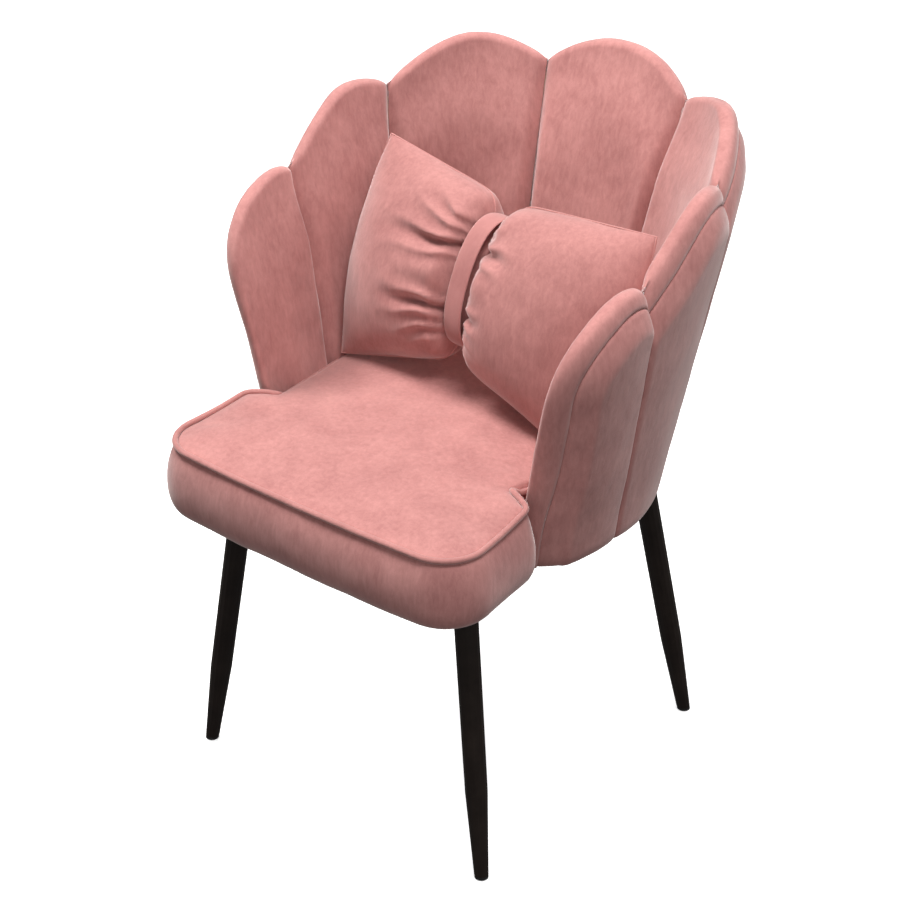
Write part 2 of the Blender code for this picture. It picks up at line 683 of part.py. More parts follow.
def build_legs(mats):
    pieces = []
    corners = (
        ("front", FOOT_FRONT, TOP_FRONT, PLATE_FRONT, PLATE_SCREWS_FRONT),
        ("rear", FOOT_REAR, TOP_REAR, PLATE_REAR, PLATE_SCREWS_REAR),
    )
    for row, foot, top, centre, spots in corners:
        for side_name, side in SIDES:
            place = row + "_" + side_name
            here = [(side * x, y) for x, y in (foot, top, centre)]
            plate = leg_plate("leg_plate_" + place, here[2], mats["zinc_steel"])
            drill(plate, [(side * x, y) for x, y in spots])
            pieces.append(plate)
            pieces.append(leg("leg_" + place, here[0], here[1], mats["black_steel"]))
            pieces.append(glide("foot_glide_" + place, here[0], here[1], mats["black_plastic"]))
            for k, (x, y) in enumerate(spots):
                name = "leg_screw_" + place + "_" + "ab"[k]
                pieces.append(screw(name, side * x, y, mats["zinc_steel"]))
    return pieces


def cleat_layout():
    """Each cleat's name, plan corners and screw positions (seat end first)."""
    half = CLEAT_WIDTH / 2
    layout = []
    for side_name, side in SIDES:
        x = side * CLEAT_REAR_X
        corners = ((x - half, CLEAT_REAR_Y[0]), (x + half, CLEAT_REAR_Y[1]))
        layout.append(("rear_" + side_name, corners, [(x, y) for y in CLEAT_REAR_SCREWS]))
        across_x = sorted(side * x for x in CLEAT_SIDE_X)
        corners = ((across_x[0], CLEAT_SIDE_Y - half), (across_x[1], CLEAT_SIDE_Y + half))
        layout.append(("side_" + side_name, corners, [(side * x, CLEAT_SIDE_Y) for x in CLEAT_SIDE_SCREWS]))
    return layout


def build_cleats(mats):
    pieces = []
    for place, (low, high), spots in cleat_layout():
        cleat = box("shell_cleat_" + place, (*low, PLATE_Z), (*high, PLATE_Z + PLATE_THICK), mats["zinc_steel"])
        drill(cleat, spots)
        pieces.append(cleat)
        for end, (x, y) in zip(("seat", "shell"), spots):
            pieces.append(screw("cleat_screw_" + place + "_" + end, x, y, mats["zinc_steel"]))
    return pieces


def build_seat(mats):
    spots = [(side * x, y) for _, side in SIDES for x, y in PLATE_SCREWS_FRONT]
    spots += [screws[0] for _, _, screws in cleat_layout()]
    board = slab("seat_board", SEAT_UNDERSIDE, SEAT_UNDERSIDE + BOARD_THICK, BOARD_INSET, mats["plywood"])
    cover_low = PLATE_Z + PLATE_THICK + GAP
    dust_cover = slab("dust_cover", cover_low, cover_low + COVER_THICK, COVER_INSET, mats["black_felt"])
    drill(board, spots)
    drill(dust_cover, spots)
    velvet = mats["velvet"]
    return [
        board,
        dust_cover,
        seat_foam(mats["foam"]),
        seat_top_cover(velvet),
        seat_border(velvet),
        seat_welt(velvet),
    ]


def build_shell(mats):
    rail = base_rail(mats["timber"])
    spots = [(side * x, y) for _, side in SIDES for x, y in PLATE_SCREWS_REAR]
    spots += [screws[1] for _, _, screws in cleat_layout()]
    drill(rail, spots)
    pieces = [rail, shell_board(mats["plywood"])]
    for petal in petals():
        pieces.append(inner_pad(petal, mats["velvet"]))
        pieces.append(outer_pad(petal, mats["velvet"]))
    return pieces


def main():
    for obj in list(bpy.data.objects):
        bpy.data.objects.remove(obj, do_unlink=True)
    mats = {
        "velvet": material("velvet", (0.58, 0.25, 0.23), 0.85),
        "band_velvet": material("band_velvet", (0.52, 0.22, 0.20), 0.75),
        "foam": material("foam", (0.85, 0.78, 0.55), 0.95),
        "plywood": material("plywood", (0.62, 0.45, 0.28), 0.65),
        "timber": material("timber", (0.55, 0.38, 0.22), 0.65),
        "black_steel": material("black_steel", (0.018, 0.014, 0.012), 0.42, 0.3),
        "zinc_steel": material("zinc_steel", (0.55, 0.56, 0.58), 0.38, 1.0),
        "black_plastic": material("black_plastic", (0.02, 0.02, 0.02), 0.55),
        "black_felt": material("black_felt", (0.03, 0.03, 0.032), 0.95),
    }
    group("seat_parts", build_seat(mats))
    group("shell_parts", build_shell(mats))
    group("leg_parts", build_legs(mats))
    group("cleat_parts", build_cleats(mats))
    group("bow_cushion_parts", [bow_body(mats["velvet"]), bow_band(mats["band_velvet"])])


main()
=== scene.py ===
"""Looks of the scallop-back chair and its bow cushion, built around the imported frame.

All lengths are in metres, in the frame's own axes: +Z up, the seat faces -Y.
"""
import math

import bmesh
import bpy
import numpy as np
from mathutils import Matrix, Vector, geometry, noise
from mathutils.kdtree import KDTree


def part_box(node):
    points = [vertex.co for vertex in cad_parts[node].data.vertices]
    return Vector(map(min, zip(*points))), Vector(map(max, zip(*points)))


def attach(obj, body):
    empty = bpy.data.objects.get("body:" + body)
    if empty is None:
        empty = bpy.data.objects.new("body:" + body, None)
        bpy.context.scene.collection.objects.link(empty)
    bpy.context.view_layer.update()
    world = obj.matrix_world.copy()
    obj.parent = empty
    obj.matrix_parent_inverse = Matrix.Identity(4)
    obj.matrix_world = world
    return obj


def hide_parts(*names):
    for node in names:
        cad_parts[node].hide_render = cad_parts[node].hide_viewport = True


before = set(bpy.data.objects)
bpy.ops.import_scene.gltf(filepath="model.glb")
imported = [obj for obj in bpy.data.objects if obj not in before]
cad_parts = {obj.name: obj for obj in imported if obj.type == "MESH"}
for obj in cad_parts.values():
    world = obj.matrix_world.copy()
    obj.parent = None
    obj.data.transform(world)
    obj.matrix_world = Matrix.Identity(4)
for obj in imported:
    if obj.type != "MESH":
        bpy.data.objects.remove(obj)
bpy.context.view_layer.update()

# ---------------------------------------------------------------- driving sizes
# The shell's mid surface, as the solids have it.  The petals are a little plumper than the solids.
SHELL_Z0, SHELL_Z1 = 0.380, 0.780
HALF_WIDTH_Z0, HALF_WIDTH_Z1 = 0.2125, 0.2735
DEPTH_Z0, DEPTH_Z1 = 0.202, 0.325
PLAN_CENTRE_Y = -0.030
PLAN_POWER = 2.4
ARM_RUN_Z0, ARM_RUN_Z1 = 0.112, 0.142
ARM_TUCK_Z0, ARM_TUCK_Z1 = 2.0, -0.5
# Each seam: its angle at the shell's foot, its angle at its notch, and the notch's height.
SEAMS = ((14.6, 18.1, 0.776), (62.0, 62.5, 0.7530), (90.0, 90.0, 0.694))
PETAL_RISE = (0.0395, 0.0375, 0.0395)
HUMP_POWER = 1.70
ARM_FRONT_Z = 0.585
ARM_ARCH_POWERS = (1.55, 2.55)
ARM_SHOULDER, ARM_SHOULDER_POWER = 0.016, 6
RAIL_RUN = 0.092
BOARD_BACK = 0.005           # clear of the board
RAIL_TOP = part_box("base_rail")[1].z + 0.001
OUTER_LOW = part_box("outer_pad_back_centre")[0].z - 0.0030      # the cloth is turned under the rail

# Rows of points below the sewn seam, close together where the panel turns in to it.
PANEL_GAPS = (0.0006, 0.0010, 0.0018, 0.0030, 0.0045, 0.0065, 0.010, 0.014, 0.018)
FRONT_ROWS, OUTER_ROWS = 34, 40              # rows of points down a petal's faces
RIM_STEEP = math.radians(72)                 # how far round the rim's outer half goes

# How the upholstery rounds over, pulls in at its seams and fills between them.
FACE_DEPTH = 0.0265          # inner face beside a seam, measured from the mid surface
FACE_CROWN = 0.0030          # more in the middle of a petal
FACE_TAPER = 0.0130          # less of it at a petal's rim
TAPER_RUN = 0.095            # distance from the rim over which that fades
CREASE_DEPTH = 0.0090        # bottom of the crease between two petals
CREASE_RUN, CREASE_POWER = 0.0180, 2.4       # how far the crease opens, and how sharp it is
ARM_CREASE_RUN = 0.0080      # the arms' edges stand up beside the side petals
OUTER_CREASE_DEPTH, OUTER_CREASE_RADIUS = 0.0052, 0.0060
NOTCH_DIP, NOTCH_THINNING = 0.0030, 0.0015   # lower and thinner where two petals meet
RIM_RADIUS = 0.0075          # inner face to the petal's top edge
RIM_TOP_OFFSET = -0.0070     # the top edge lies inside the mid surface
RIM_DROP = 0.0200            # top edge down to the sewn seam outside
FOOT_DROP = 0.0095           # and less of it at the foot of an arm's front
FOOT_Z0, FOOT_Z1 = 0.395, 0.530
RIM_SQUARE = 0.82            # 1 rounds the rim like a quarter ellipse, less is squarer
LIP = 0.0105                 # outside the mid surface at the sewn seam
SEAM_DEPTH = 0.0040          # the sewn seam is pulled in by this much
OUTER_DEPTH = 0.0250         # outer face, measured from the mid surface
OUTER_FULLNESS = 0.0030      # more in the middle of an outer panel
OUTER_SWELL = 0.032          # distance over which the outer panel fills out
TURN_UNDER = 0.0060          # how far the outer panels curl in at their foot
TURN_RADIUS = 0.016

# Seat cushion
WELT_Z = 0.4573
WELT_RADIUS = 0.0036
WELT_SINK = 0.0090           # the piping slips down between the seat and the shell
SEAT_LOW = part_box("seat_board")[0].z + 0.0003
SEAT_FRONT_Y = -0.314
SEAT_HALF_WIDTH, EAR_HALF_WIDTH = 0.2225, 0.2110
SEAT_CORNER = 0.050
FRONT_BEND_X = 0.090         # the front edge bends back from here on
FRONT_BEND, CORNER_BEND = 0.001, 0.007       # how far it has bent back there and at the corner
EAR_TIP_PART, ARM_SIDE_PART, ARM_MIDDLE_PART = 0.98, 0.85, 0.45     # places along an arm's straight run
EAR_BACK_Y, EAR_RADIUS = -0.1665, 0.014
EAR_NOTCH_Y, EAR_NOTCH_RADIUS = -0.1505, 0.005
EAR_NOTCH_EASE = 0.004
SEAT_SHELL_CLEAR = 0.0335
BULGE_START_Y, BULGE_RUN = -0.149, 0.016     # the border swells only in front of the arms
COVER_DIP = 0.0038           # the covers meet this far below the piping's centre
EDGE_RISE, EDGE_RUN = 0.0088, 0.011          # the top rises quickly beside the piping
CROWN_RISE, CROWN_RUN = 0.0095, 0.30         # and slowly towards its middle
# Down the border: part of its height, and how far it stands out.
BORDER_SHAPE = (
    (0.0, -0.0015), (0.05, 0.0020), (0.16, 0.0062), (0.32, 0.0102), (0.50, 0.0124), (0.70, 0.0122),
    (0.85, 0.0090), (0.94, 0.0035), (0.98, -0.0020), (1.0, -0.0090),
)
SEAT_STEP, SEAT_GRID = 0.0045, 0.0058        # spacing of points along the seat's edge, and over its top
EAR_LIFT, EAR_LIFT_RUN = 0.0100, 0.050       # the stuffing swells up where each arm meets the seat

# Bow cushion
BOW_CENTRE = Vector((0.008, 0.023, 0.6020))
BOW_LEAN = 23.0
BOW_TURN = -5.0
BOW_HALF_WIDTH_LOW, BOW_HALF_WIDTH_HIGH = 0.191, 0.207
BOW_MEAN_HALF_WIDTH = 0.197
BOW_SIDE_BULGE = 0.014       # its ends swell outwards between their corners
BOW_HALF_HEIGHT = 0.1365
BOW_WING_DROP = 0.0145       # the wings' ends hang below the band's centre
BOW_WAIST_HEIGHT, BOW_WAIST_DEPTH = 0.074, 0.042
BOW_WAIST_SHIFT = -0.007     # the band sits left of the middle
BOW_SHOULDER_HEIGHT = 0.1005 # wing height just beside the band
BOW_WING_DEPTH = 0.050
BOW_FRONT_SWELL = 1.38       # its front face is this much fuller than its back
BAND_GROOVES = (0.0040, 0.0120)      # the cover dives in beside the band: its left edge, its right edge
BAND_GROOVE_RUN = 0.0050
BAND_HALF = 0.013
BAND_THICK = 0.0025
BAND_CLEAR = 0.0055          # between the cushion's waist and the middle of the band
BOW_STEPS, BOW_ROWS = 110, 92                # rings across the cushion, and points up each of its faces
BOW_SEAM_RADIUS = 0.0011

# Colours: the velvet's dark and light tones, and the world's light from below and above
DARK = (0.300, 0.104, 0.099)
LIGHT = (0.650, 0.308, 0.284)
# Painted shade: a darker copy of the velvet's dark and light tones, for the bow cushion and the seat piping, so
# they come out darker than the lamps make them.
CUSHION_SHADED_TONES = ((0.262, 0.090, 0.086), (0.590, 0.272, 0.250))
WORLD_LOW, WORLD_HIGH = (0.11, 0.105, 0.105), (0.36, 0.355, 0.35)
FLOOR_SIZE = 30.0


# ---------------------------------------------------------------- small helpers
def rounded(distance, radius):
    """Quarter circle: 0 at distance 0, rising to 1 at the radius and beyond."""
    part = 1.0 - min(1.0, max(0.0, distance / radius))
    return math.sqrt(max(0.0, 1.0 - part * part))


def crease(distance, run):
    """Fullness beside a seam: a V that opens out and rounds over, from 0 to 1."""
    return 1.0 - (1.0 - min(1.0, max(0.0, distance / run))) ** CREASE_POWER


def smooth(value):
    value = min(1.0, max(0.0, value))
    return value * value * (3.0 - 2.0 * value)


def mix(a, b, part):
    return a + (b - a) * part


def make_object(name, verts, faces, material):
    mesh = bpy.data.meshes.new(name)
    mesh.from_pydata([tuple(v) for v in verts], [], faces)
    bm = bmesh.new()
    bm.from_mesh(mesh)
    bmesh.ops.recalc_face_normals(bm, faces=bm.faces)
    bm.to_mesh(mesh)
    bm.free()
    mesh.shade_smooth()
    obj = bpy.data.objects.new(name, mesh)
    bpy.context.scene.collection.objects.link(obj)
    if material is not None:
        mesh.materials.append(material)
    return obj


def loft(name, rings, material, wrap=False, cap=True):
    """Skin a list of closed rings that have the same number of points."""
    count = len(rings[0])
    verts = [point for ring in rings for point in ring]
    pairs = [(k, k + 1) for k in range(len(rings) - 1)]
    if wrap:
        pairs.append((len(rings) - 1, 0))
    faces = []
    for low, high in pairs:
        for i in range(count):
            j = (i + 1) % count
            faces.append((low * count + i, low * count + j, high * count + j, high * count + i))
    if cap and not wrap:
        last = (len(rings) - 1) * count
        faces.append(tuple(range(count)))
        faces.append(tuple(range(last, last + count)))
    return make_object(name, verts, faces, material)


def resample(path, spacing, closed=False):
    """Evenly spaced points along a polyline of 2D or 3D points."""
    points = np.array([tuple(p) for p in path])
    if closed:
        points = np.vstack([points, points[:1]])
    lengths = np.linalg.norm(np.diff(points, axis=0), axis=1)
    run = np.concatenate([[0.0], np.cumsum(lengths)])
    count = max(4, round(run[-1] / spacing))
    wanted = np.linspace(0.0, run[-1], count + 1)
    made = np.stack([np.interp(wanted, run, points[:, k]) for k in range(points.shape[1])], axis=1)
    return made[:-1] if closed else made


def uneven(obj, size, amount, seed=0.0):
    """Move a surface in and out a little, as hand-worked foam and cloth does."""
    shift = Vector((seed, seed * 1.7, -seed))
    normals = [v.normal.copy() for v in obj.data.vertices]
    for vertex, normal in zip(obj.data.vertices, normals):
        vertex.co += normal * amount * noise.noise(vertex.co / size + shift)
    return obj


def upholster(obj, body, nodes=()):
    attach(obj, body)
    if nodes:
        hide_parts(*nodes)
    return obj


# ---------------------------------------------------------------- materials
class Graph:
    """A material's node tree, with its Principled shader."""

    def __init__(self, name):
        self.material = bpy.data.materials.new(name)
        self.material.use_nodes = True
        self.tree = self.material.node_tree
        self.shader = self.tree.nodes["Principled BSDF"]
        self.place = self.node("ShaderNodeTexCoord").outputs["Object"]

    def node(self, kind, links=None, **values):
        made = self.tree.nodes.new(kind)
        for key, value in values.items():
            if hasattr(made, key):
                setattr(made, key, value)
            else:
                made.inputs[key.replace("_", " ").title()].default_value = value
        for key, source in (links or {}).items():
            self.tree.links.new(source, made.inputs[key])
        return made

    def stretched(self, scale, rotation=(0.0, 0.0, 0.0)):
        made = self.node("ShaderNodeMapping", {"Vector": self.place})
        made.inputs["Scale"].default_value = scale
        made.inputs["Rotation"].default_value = rotation
        return made.outputs["Vector"]

    def noise(self, scale, detail=2.0, roughness=0.5, distortion=0.0, vector=None):
        made = self.node("ShaderNodeTexNoise", {"Vector": vector or self.place})
        made.inputs["Scale"].default_value = scale
        made.inputs["Detail"].default_value = detail
        made.inputs["Roughness"].default_value = roughness
        made.inputs["Distortion"].default_value = distortion
        return made.outputs["Fac"]

    def ramp(self, source, low, high, to_low=0.0, to_high=1.0):
        made = self.node("ShaderNodeMapRange", {"Value": source})
        for key, value in (("From Min", low), ("From Max", high), ("To Min", to_low), ("To Max", to_high)):
            made.inputs[key].default_value = value
        return made.outputs["Result"]

    def blend(self, part, a, b, how="MIX"):
        """Mix two colours; each is a socket or a colour."""
        made = self.node("ShaderNodeMix", data_type="RGBA", blend_type=how)
        for index, value in ((0, part), (6, a), (7, b)):
            if isinstance(value, (tuple, float)):
                value = (*value, 1.0) if isinstance(value, tuple) else value
                made.inputs[index].default_value = value
            else:
                self.tree.links.new(value, made.inputs[index])
        return made.outputs[2]

    def maths(self, operation, a, b):
        made = self.node("ShaderNodeMath", operation=operation)
        for index, value in enumerate((a, b)):
            if isinstance(value, float):
                made.inputs[index].default_value = value
            else:
                self.tree.links.new(value, made.inputs[index])
        return made.outputs[0]

    def bump(self, height, distance, strength=1.0, after=None):
        links = {"Height": height}
        if after is not None:
            links["Normal"] = after
        made = self.node("ShaderNodeBump", links)
        made.inputs["Distance"].default_value = distance
        made.inputs["Strength"].default_value = strength
        return made.outputs["Normal"]

    def finish(self, colour=None, roughness=None, normal=None, **values):
        for key, source in (("Base Color", colour), ("Roughness", roughness), ("Normal", normal)):
            if source is not None:
                self.tree.links.new(source, self.shader.inputs[key])
        for key, value in values.items():
            self.shader.inputs[key.replace("_", " ")].default_value = value
        return self.material


def velvet(name, dark, light, seed=0.0, nap=1.0):
    """Short-pile velvet: cloudy patches where the nap lies another way, fine
    brush marks, a grain of single tufts and a soft sheen at grazing angles.
    Its colour also carries a painted highlight on convex edges and painted shade in creases."""
    graph = Graph(name)
    moved = graph.node("ShaderNodeMapping", {"Vector": graph.place})
    moved.inputs["Location"].default_value = (seed, -seed, 0.5 * seed)
    place = moved.outputs["Vector"]
    clouds = graph.noise(15.0, 4.0, 0.55, 0.5, place)
    patches = graph.noise(60.0, 4.0, 0.60, 0.6, place)
    brushed = graph.noise(1.0, 5.0, 0.70, 0.4, graph.stretched((170.0, 170.0, 40.0), (0.55, 0.45, 0.3)))
    tufts = graph.noise(1400.0, 1.0, 0.5, 0.0, place)
    tone = graph.maths("ADD", graph.maths("MULTIPLY", graph.ramp(clouds, 0.34, 0.68), 0.26), 0.10)
    tone = graph.maths("ADD", tone, graph.maths("MULTIPLY", graph.ramp(patches, 0.30, 0.72), 0.13 * nap))
    tone = graph.maths("ADD", tone, graph.maths("MULTIPLY", graph.ramp(brushed, 0.30, 0.70), 0.32 * nap))
    tone = graph.maths("ADD", tone, graph.maths("MULTIPLY", tufts, 0.16 * nap))
    colour = graph.blend(tone, dark, light)
    # Painted light: convex edges (high pointiness) are lightened as a painted highlight, and creases (low
    # pointiness) are darkened as painted shade.
    bend = graph.node("ShaderNodeNewGeometry").outputs["Pointiness"]
    painted_edge_highlight = tuple(min(1.0, 1.15 * c) for c in light)
    shaded = tuple(0.55 * c for c in dark)
    colour = graph.blend(graph.ramp(bend, 0.50, 0.58, 0.0, 0.40), colour, painted_edge_highlight)
    colour = graph.blend(graph.ramp(bend, 0.42, 0.490, 0.55, 0.0), colour, shaded)
    normal = graph.bump(patches, 0.0008, 0.35)
    normal = graph.bump(brushed, 0.0004, 0.35 * nap, normal)
    normal = graph.bump(tufts, 0.0003, 0.45 * nap, normal)
    return graph.finish(
        colour, graph.ramp(clouds, 0.25, 0.75, 0.78, 0.95), normal,
        Sheen_Weight=0.75, Sheen_Roughness=0.42, Sheen_Tint=(1.0, 0.90, 0.88, 1.0), Specular_IOR_Level=0.25,
    )


def powder_coat():
    graph = Graph("powder_coat_black_brown")
    peel = graph.noise(650.0, 2.0)
    dust = graph.noise(24.0, 5.0, 0.7)
    colour = graph.blend(graph.ramp(dust, 0.35, 0.75), (0.0105, 0.0062, 0.0045), (0.022, 0.0140, 0.0105))
    return graph.finish(
        colour, graph.ramp(dust, 0.3, 0.7, 0.38, 0.52), graph.bump(peel, 0.0003, 0.4),
        Metallic=0.0, Specular_IOR_Level=0.35,
    )


def zinc():
    graph = Graph("zinc_plate")
    spangle = graph.node("ShaderNodeTexVoronoi", {"Vector": graph.place})
    spangle.inputs["Scale"].default_value = 210.0
    cloud = graph.noise(60.0, 4.0)
    colour = graph.blend(spangle.outputs["Distance"], (0.42, 0.44, 0.47), (0.62, 0.63, 0.64))
    colour = graph.blend(graph.ramp(cloud, 0.4, 0.8, 0.0, 0.5), colour, (0.36, 0.35, 0.33))
    return graph.finish(
        colour, graph.ramp(cloud, 0.3, 0.7, 0.28, 0.46), graph.bump(cloud, 0.0002, 0.3), Metallic=1.0,
    )


def wood(name, dark, light, rings):
    """Sawn timber: long grain along X, with pores; rings is how busy it is."""
    graph = Graph(name)
    grain = graph.noise(rings, 6.0, 0.6, 1.6, graph.stretched((1.0, 9.0, 16.0)))
    pores = graph.noise(1.0, 3.0, 0.6, 0.0, graph.stretched((90.0, 900.0, 900.0)))
    colour = graph.blend(graph.ramp(grain, 0.3, 0.7), dark, light)
    colour = graph.blend(graph.ramp(pores, 0.55, 0.8, 0.0, 0.4), colour, dark)
    return graph.finish(
        colour, graph.ramp(grain, 0.3, 0.7, 0.55, 0.75), graph.bump(pores, 0.0002, 0.5), Specular_IOR_Level=0.3,
    )


def nylon():
    graph = Graph("moulded_nylon")
    grain = graph.noise(900.0, 2.0)
    scuffs = graph.noise(70.0, 5.0, 0.7, 1.0)
    colour = graph.blend(graph.ramp(scuffs, 0.5, 0.8), (0.012, 0.012, 0.012), (0.05, 0.05, 0.05))
    return graph.finish(
        colour, graph.ramp(scuffs, 0.4, 0.8, 0.45, 0.7), graph.bump(grain, 0.0002, 0.4),
    )


def felt():
    graph = Graph("dust_cover_cloth")
    fibres = graph.noise(420.0, 5.0, 0.75, 2.0)
    colour = graph.blend(fibres, (0.012, 0.012, 0.013), (0.055, 0.055, 0.058))
    return graph.finish(colour, None, graph.bump(fibres, 0.0004, 0.6), Roughness=0.95, Sheen_Weight=0.2)


# ---------------------------------------------------------------- shell surface
def shell_point(angle, z, offset=0.0):
    """Point of the shell: angle is 0 at the back's middle and 90 at the side;
    past 90 it is 90 plus metres of straight run forward."""
    t = (z - SHELL_Z0) / (SHELL_Z1 - SHELL_Z0)
    half_width = mix(HALF_WIDTH_Z0, HALF_WIDTH_Z1, t)
    depth = mix(DEPTH_Z0, DEPTH_Z1, t)
    side = -1.0 if angle < 0 else 1.0
    turn = abs(angle)
    if turn >= 90.0:
        run = turn - 90.0
        tuck = mix(ARM_TUCK_Z0, ARM_TUCK_Z1, t)
        return Vector((side * (half_width - tuck * run * run + offset), PLAN_CENTRE_Y - run, z))
    sine = math.sin(math.radians(turn)) ** (2 / PLAN_POWER)
    cosine = math.cos(math.radians(turn)) ** (2 / PLAN_POWER)
    normal = Vector((sine ** (PLAN_POWER - 1) / half_width, cosine ** (PLAN_POWER - 1) / depth)).normalized()
    x = half_width * sine + offset * normal.x
    y = PLAN_CENTRE_Y + depth * cosine + offset * normal.y
    return Vector((side * x, y, z))


def arm_run(z):
    """Straight length of an arm at height z."""
    return mix(ARM_RUN_Z0, ARM_RUN_Z1, (z - SHELL_Z0) / (SHELL_Z1 - SHELL_Z0))


def seam_angle(index, z):
    low, high, notch = SEAMS[abs(index) - 1]
    return math.copysign(mix(low, high, (z - SHELL_Z0) / (notch - SHELL_Z0)), index)


class Petal:
    """One petal between two seams, with u from 0 to 1 across it.  Places on it
    are (u, z, offset); a column runs from its edge down to its root."""

    columns = 50
    crease_run = CREASE_RUN

    def __init__(self, name, first, last, rise):
        self.name = name
        self.first = first
        self.last = last
        self.rise = rise
        path = [self.place(k / 20, 0.62, 0.0) for k in range(21)]
        self.span = sum((b - a).length for a, b in zip(path, path[1:]))

    def angle(self, u, z):
        return mix(seam_angle(self.first, z), seam_angle(self.last, z), u)

    def place(self, u, z, offset):
        return shell_point(self.angle(u, z), z, offset)

    def top(self, u):
        start = SEAMS[abs(self.first) - 1][2]
        end = SEAMS[abs(self.last) - 1][2]
        hump = 1 - abs(2 * u - 1) ** HUMP_POWER
        return mix(start, end, u) + self.rise * hump

    def seam_distance(self, u):
        return min(u, 1.0 - u) * self.span

    def crown(self, u):
        return FACE_CROWN * (1 - (2 * u - 1) ** 2)

    def layout(self, low, wraps):
        """Columns as (edge, direction inwards, root), all in (u, z)."""
        made = []
        for k in range(self.columns + 1):
            u = 0.5 - 0.5 * math.cos(math.pi * k / self.columns)
            u = mix(0.002, 0.998, u)
            slope = (self.top(min(1, u + 0.01)) - self.top(max(0, u - 0.01))) / (0.02 * self.span)
            lean = min(1.35, math.hypot(1.0, slope))
            made.append(((u, self.top(u)), (0.0, -lean), (u, low)))
        return made


class ArmPetal(Petal):
    """Front petal: its edge arches over from the rear seam and down the front."""

    columns = 84
    crease_run = ARM_CREASE_RUN

    def __init__(self, name, side):
        self.side = side
        super().__init__(name, 3 * side, 3 * side, 0.0)

    def angle(self, u, z):
        return self.side * (90.0 + arm_run(z) * u)

    def top(self, u):
        start = SEAMS[2][2] + ARM_SHOULDER
        fall = max(0.0, 1 - u ** ARM_ARCH_POWERS[0]) ** (1 / ARM_ARCH_POWERS[1])
        return ARM_FRONT_Z + (start - ARM_FRONT_Z) * fall - ARM_SHOULDER * (1 - u) ** ARM_SHOULDER_POWER

    def seam_distance(self, u):
        return max(0.0, u) * self.span

    def crown(self, u):
        return FACE_CROWN * (1 - (2 * min(1.0, max(0.0, u)) - 1) ** 4)

    def layout(self, low, wraps):
        """The edge is followed over the arch and down the front.  A piece that
        wraps the front also goes down past the end of the rail."""
        arch = [math.sin(math.pi / 2 * k / 60) for k in range(61)]
        edge = [(arm_run(self.top(u)) * u, self.top(u)) for u in arch]
        edge.append((arm_run(OUTER_LOW), OUTER_LOW))
        path = resample(edge, 0.002)
        root_path = [(0.0, SEAMS[2][2] - 0.075), (0.0, low)]
        if wraps:
            root_path += [(RAIL_RUN + 0.003, low), (RAIL_RUN + 0.003, OUTER_LOW)]
        else:
            root_path.append((ARM_RUN_Z0 - 0.034, low))
        spots = [0.5 - 0.5 * math.cos(math.pi * k / self.columns) for k in range(self.columns + 1)]
        spots = [mix(s, k / self.columns, 0.5) for k, s in enumerate(spots)]
        roots = resample(root_path, 0.001)
        made = []
        for s in spots:
            here = s * (len(path) - 1)
            k = min(len(path) - 2, int(here))
            point = mix(path[k], path[k + 1], here - k)
            before = path[max(0, k - 3)]
            after = path[min(len(path) - 1, k + 4)]
            along = Vector(after - before).normalized()
            inward = Vector((along.y, -along.x))
            inward = Vector((0, -1)).lerp(inward, smooth(s / 0.12)).normalized()
            root = roots[round(s * (len(roots) - 1))]
            run = arm_run(point[1])
            made.append((
                (max(0.002, point[0] / run), point[1]),
                (inward.x / run, inward.y),
                (max(0.002, root[0] / arm_run(root[1])), root[1]),
            ))
        return made


def petals():
    return [
        ArmPetal("arm_left", -1),
        Petal("side_left", -3, -2, PETAL_RISE[2]),
        Petal("back_left", -2, -1, PETAL_RISE[1]),
        Petal("back_centre", -1, 1, PETAL_RISE[0]),
        Petal("back_right", 1, 2, PETAL_RISE[1]),
        Petal("side_right", 2, 3, PETAL_RISE[2]),
        ArmPetal("arm_right", 1),
    ]


def rim_drop(edge_z):
    """Distance from a petal's edge back to its sewn seam."""
    return mix(FOOT_DROP, RIM_DROP, smooth((edge_z - FOOT_Z0) / (FOOT_Z1 - FOOT_Z0)))


def face_depth(petal, u, from_rim=RIM_RADIUS):
    """How far inside the mid surface a petal's inner face stands."""
    pull = crease(petal.seam_distance(u), petal.crease_run)
    thin = FACE_TAPER * (1 - smooth((from_rim - RIM_RADIUS) / TAPER_RUN))
    return mix(CREASE_DEPTH - 0.4 * thin, FACE_DEPTH + petal.crown(u) - thin, pull)


